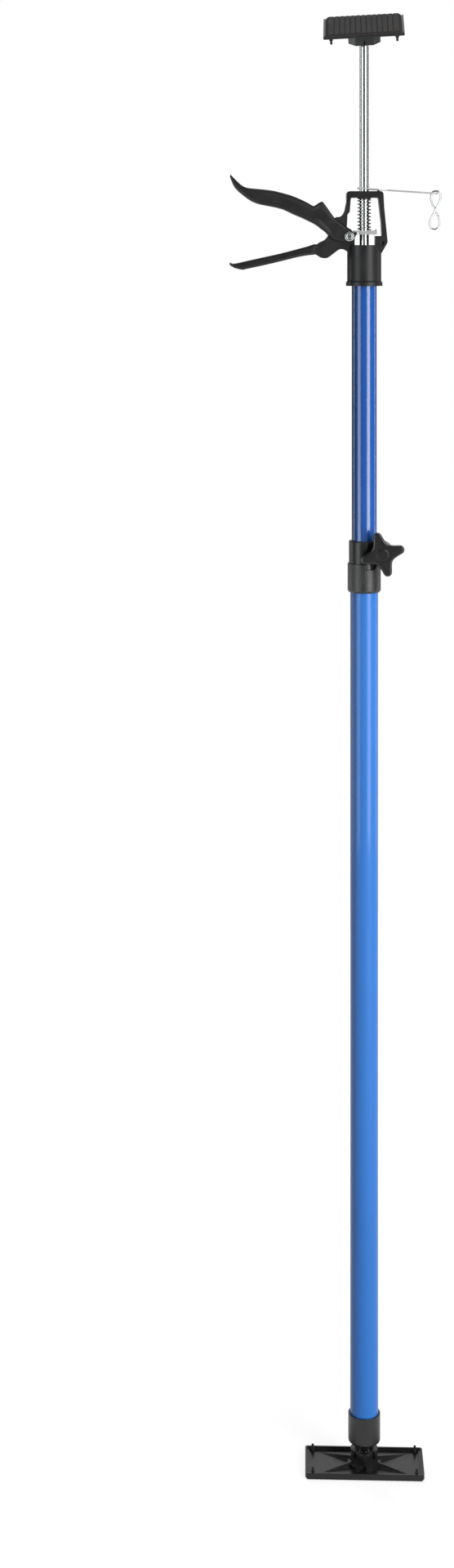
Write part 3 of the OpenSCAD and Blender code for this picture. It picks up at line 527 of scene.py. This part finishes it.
# In millimetres from the middle: across, up, and the share of WIRE_APART that
# the wire has come forward.
HOOK_BENDS = (
    (0.5, 1.0, 0.9), (-2.6, 4.4, 0.75), (-4.6, 9.2, 0.35), (-5.1, 14.9, 0.0),
    (-3.6, 19.0, 0.0), (0.0, 20.5, 0.0), (3.6, 19.0, 0.0), (5.1, 15.2, 0.0),
    (4.0, 9.4, 0.0), (2.0, 4.6, 0.0), (0.0, 0.0, 0.0),
)
front_half = [
    Vector((across, -WIRE_APART * forward, up)) for across, up, forward in HOOK_BENDS
]
bends = front_half + [-bend for bend in reversed(front_half[:-1])]
print("bends in the wire:", len(bends))

# %% [markdown]
# A bezier curve is the plain way to bend wire: it runs smoothly through its
# points, and its round bevel is the wire's thickness. Extruding a circle from
# bend to bend would show a kink at each one.

# %% Bend the wire
HOOK_WIRE = 2.0 * MM
HOOK_LEAN = math.radians(3)
WIRE_ROUNDNESS, BEND_STEPS = 6, 10

hook_low, hook_high = (Vector(corner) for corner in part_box("s_hook"))
hook_middle = (hook_low + hook_high) / 2
lean = Matrix.Rotation(HOOK_LEAN, 3, "Y")
wire = bpy.data.curves.new("hook_path", "CURVE")
wire.dimensions = "3D"
wire.bevel_depth = HOOK_WIRE / 2
wire.bevel_resolution = WIRE_ROUNDNESS
wire.resolution_u = BEND_STEPS
wire.use_fill_caps = True
spline = wire.splines.new("BEZIER")
spline.bezier_points.add(len(bends) - 1)
for point, bend in zip(spline.bezier_points, bends):
    point.co = hook_middle + lean @ (bend * MM)
    point.handle_left_type = point.handle_right_type = "AUTO"
bent = placed("hook_path", wire)
bpy.context.view_layer.update()
print("hook height in mm:", round((hook_high.z - hook_low.z) / MM, 1))

# %% [markdown]
# Only a mesh can be exported, so the curve is turned into one, welded, and put
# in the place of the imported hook.

# %% The wire hook
hook_mesh = bpy.data.meshes.new_from_object(bent)
bpy.data.objects.remove(bent)
weld(hook_mesh)
hook_mesh.materials.clear()
hook_mesh.materials.append(hook_wire)
hook = placed("wire_hook", hook_mesh)
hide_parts("s_hook")
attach(hook, "hook")
print("hook points:", len(hook_mesh.vertices))

# %% [markdown]
# The pole stands on a pale floor, wide enough that its edge is never seen.

# %% Floor
FLOOR_HALF = 6

floor_mesh = bpy.data.meshes.new("floor")
floor_form = bmesh.new()
bmesh.ops.create_grid(floor_form, x_segments=1, y_segments=1, size=FLOOR_HALF)
floor_form.to_mesh(floor_mesh)
floor_form.free()
floor = placed("floor", floor_mesh)
print("floor half width in metres:", FLOOR_HALF)

# %% [markdown]
# A floor lit to pure white would throw that light back on to the pole. This
# one is grey to the lamps, so it keeps the shadow, and glows only for the
# camera and for what metal mirrors. The glow rises to the backdrop's white
# away from the foot, so no horizon line shows.

# %% The floor's glow
FLOOR_NEAR, FLOOR_FAR = 0.80, 1.0
SHADOW_REACH, WHITE_REACH = 0.15, 1.1

floor_paint = Finish("floor_paint")
away = floor_paint.node(
    "ShaderNodeVectorMath", {"operation": "LENGTH"}, {0: floor_paint.place}, 1
)
fading = away.over(SHADOW_REACH, WHITE_REACH)
rays = floor_paint.parts("ShaderNodeLightPath", {})
seen = rays["Is Camera Ray"].most(rays["Is Glossy Ray"])
seen = seen.most(rays["Is Transmission Ray"])
glow = seen * (FLOOR_NEAR + (FLOOR_FAR - FLOOR_NEAR) * fading)
print("floor glow:", FLOOR_NEAR, "to", FLOOR_FAR)

# %% [markdown]
# No light gets between the ribs of the sole, so the floor doesn't glow there.
# The dark patch is a little smaller than the sole and turned with it, in line
# with the foot's tilting axis, which runs along the sole.

# %% The dark patch under the sole
SOLE_HALVES = {"X": 61 * MM, "Y": 26.5 * MM}
SOLE_SOFT = 1 * MM

joints = {joint["name"]: joint for joint in frame["record"]["behaviour"]["joints"]}
sole_x, sole_y = joints["foot_tilt"]["axis"][:2]
sole_turn = math.atan2(sole_y, sole_x)
along_sole = floor_paint.node(
    "ShaderNodeMapping",
    {},
    {"Vector": floor_paint.place, "Rotation": (0, 0, -sole_turn)},
)
sides = floor_paint.parts("ShaderNodeSeparateXYZ", {0: along_sole})
past = [
    sides[side].unsigned().over(half - SOLE_SOFT, half + SOLE_SOFT)
    for side, half in SOLE_HALVES.items()
]
outside = past[0].most(past[1])
print("sole turned by degrees:", round(math.degrees(sole_turn), 1))

# %% [markdown]
# The glow and the dark patch go into one material. Its own colour is a dull
# grey, with no gloss that could mirror the lamps.

# %% Paint the floor
FLOOR_GREY = (0.30, 0.30, 0.30)
FLOOR_ROUGHNESS = 0.9
NO_GLOW, FULL_GLOW = (0, 0, 0), (1, 1, 1)

floor_paint.set(
    base_color=FLOOR_GREY,
    roughness=FLOOR_ROUGHNESS,
    specular_ior_level=0.0,
    emission_color=floor_paint.between(glow * outside, NO_GLOW, FULL_GLOW),
    emission_strength=1.0,
)
floor_mesh.materials.append(floor_paint.material)
print("floor material:", floor_paint.material.name)

# %% [markdown]
# Bare steel is only as good as what it mirrors. Behind the pole stands the
# white backdrop that the camera sees too, and the rest of the room is dark. A
# white room all round would leave the rod without its dark lines. This cell
# makes the room that metal sees. It is white up to 16 degrees on each side of
# the backdrop's middle, and fades to dark at 24.

# %% The room in the steel
ROOM_DARK = 0.17
BACKDROP_TURN = math.radians(90)
WHITE_UP_TO, DARK_FROM = math.radians(16), math.radians(24)

world = bpy.data.worlds.new("studio")
bpy.context.scene.world = world
world.use_nodes = True
sky = world.node_tree
towards = (math.cos(BACKDROP_TURN), math.sin(BACKDROP_TURN), 0)
direction = add_node(sky, "ShaderNodeTexCoord", {}, {}, "Generated")
level = add_node(
    sky, "ShaderNodeVectorMath", {"operation": "MULTIPLY"}, {0: direction, 1: (1, 1, 0)}
)
level = add_node(sky, "ShaderNodeVectorMath", {"operation": "NORMALIZE"}, {0: level})
facing = add_node(
    sky, "ShaderNodeVectorMath", {"operation": "DOT_PRODUCT"}, {0: level, 1: towards}, 1
)
room = add_node(
    sky,
    "ShaderNodeMapRange",
    {"interpolation_type": "SMOOTHSTEP"},
    {
        "Value": facing,
        "From Min": math.cos(DARK_FROM),
        "From Max": math.cos(WHITE_UP_TO),
        "To Min": ROOM_DARK,
        "To Max": 1.0,
    },
)
print("room brightness in mirrors:", ROOM_DARK, "to 1")

# %% [markdown]
# The world shows each kind of ray its own light. The camera, and what looks
# through something clear, gets plain white. Metal gets the room above, and
# everything else a low, even light that only lifts the shadows.

# %% World
AMBIENT = 0.20
WHITE = (1, 1, 1, 1)


def sky_light(strength):
    return add_node(
        sky, "ShaderNodeBackground", {}, {"Color": WHITE, "Strength": strength}
    )


paths = add_node(sky, "ShaderNodeLightPath", {}, {}).node.outputs
backdrop = sky_light(1.0)
light = sky_light(AMBIENT)
for path, shown in (
    ("Is Glossy Ray", sky_light(room)),
    ("Is Transmission Ray", backdrop),
    ("Is Camera Ray", backdrop),
):
    inputs = {0: paths[path], 1: light, 2: shown}
    light = add_node(sky, "ShaderNodeMixShader", {}, inputs)
sky.links.new(light, sky.nodes["World Output"].inputs["Surface"])
print("ambient light:", AMBIENT)

# %% [markdown]
# The lamps are flat panels, as a photographer's soft boxes are. A point lamp
# would draw a dot in the tubes where the real studio draws a strip.

# %% A flat lamp
def lamp(name, place, aim, size, power):
    """A flat lamp that faces the point it is aimed at."""
    panel = bpy.data.lights.new(name, "AREA")
    panel.shape = "RECTANGLE"
    panel.size, panel.size_y = size
    panel.energy = power
    holder = placed(name, panel)
    holder.location = place
    facing_aim = (Vector(aim) - Vector(place)).to_track_quat("-Z", "Y")
    holder.rotation_euler = facing_aim.to_euler()
    return holder


# %% [markdown]
# Upright soft boxes stand round the pole, because each one shows in a tube as
# one long strip. Two broad ones in front draw the wide pale strips, and two
# slim ones beside it draw the thin lines near the edges. One more behind keeps
# the backs of the tubes from going black. Some boxes are only mirrored and
# some only light the pole, so a strip can be bright without burning out the
# paint. A box is named by the side it stands on.

# %% Soft boxes
BOX_DISTANCE = 2.0
BOX_MIDDLE = 1.35
BOX_HEIGHT = 2.4
COOL, PLAIN = (0.93, 0.985, 1.0), (1, 1, 1)
# Where it stands and how wide it looks, in degrees, how bright it is, and
# whether it lights the pole and whether it is mirrored in it.
BOXES = {
    "left_broad": (219, 28, 3.4, False, True),
    "right_broad": (307, 28, 6.4, True, True),
    "left_slim": (160, 5, 5.0, False, True),
    "right_slim": (20, 5, 4.4, False, True),
    "back_fill": (105, 36, 3.0, True, False),
}
for name, (turn, spread, radiance, fills, shines) in BOXES.items():
    angle = math.radians(turn)
    width = 2 * BOX_DISTANCE * math.tan(math.radians(spread / 2))
    place = (BOX_DISTANCE * math.cos(angle), BOX_DISTANCE * math.sin(angle), BOX_MIDDLE)
    power = radiance * math.pi * width * BOX_HEIGHT
    box = lamp(name, place, (0, 0, BOX_MIDDLE), (width, BOX_HEIGHT), power)
    box.data.color = COOL if name.startswith("left") else PLAIN
    box.visible_diffuse = fills
    box.visible_glossy = shines
    print(name, "watts:", round(power, 1))

# %% [markdown]
# A wide lamp overhead gives the foot its soft shadow and the head and handles
# their pale upper edges.

# %% Top light
TOP_PLACE, TOP_AIM = (0.0, 0.3, 3.4), (0, 0, 1.2)
TOP_SIDE, TOP_WATTS = 1.6, 12

lamp("top_soft", TOP_PLACE, TOP_AIM, (TOP_SIDE, TOP_SIDE), TOP_WATTS)
print("top_soft watts:", TOP_WATTS)

# %% [markdown]
# The photograph was taken with the lens level and high on the pole, and the
# frame slid down to take in the foot. That is a shift, not a tilt: the pole
# stays the same width from top to bottom.

# %% Camera
IMAGE_W, IMAGE_H = 556, 1920
PX_PER_M = 1145
HORIZON_PX, FLOOR_PX = 310, 1796.5
POLE_PX = 446
CAMERA_DISTANCE = 2.45
SENSOR = 36

camera = placed("camera", bpy.data.cameras.new("camera"))
camera.data.sensor_width = SENSOR
camera.data.lens = PX_PER_M * CAMERA_DISTANCE / IMAGE_H * SENSOR
camera.data.shift_y = -(IMAGE_H / 2 - HORIZON_PX) / IMAGE_H
camera.location = (
    (IMAGE_W / 2 - POLE_PX) / PX_PER_M,
    -CAMERA_DISTANCE,
    (FLOOR_PX - HORIZON_PX) / PX_PER_M,
)
camera.rotation_euler = (math.radians(90), 0, 0)
bpy.context.scene.camera = camera
bpy.context.scene.view_settings.view_transform = "Standard"
print("lens in mm:", round(camera.data.lens, 1))
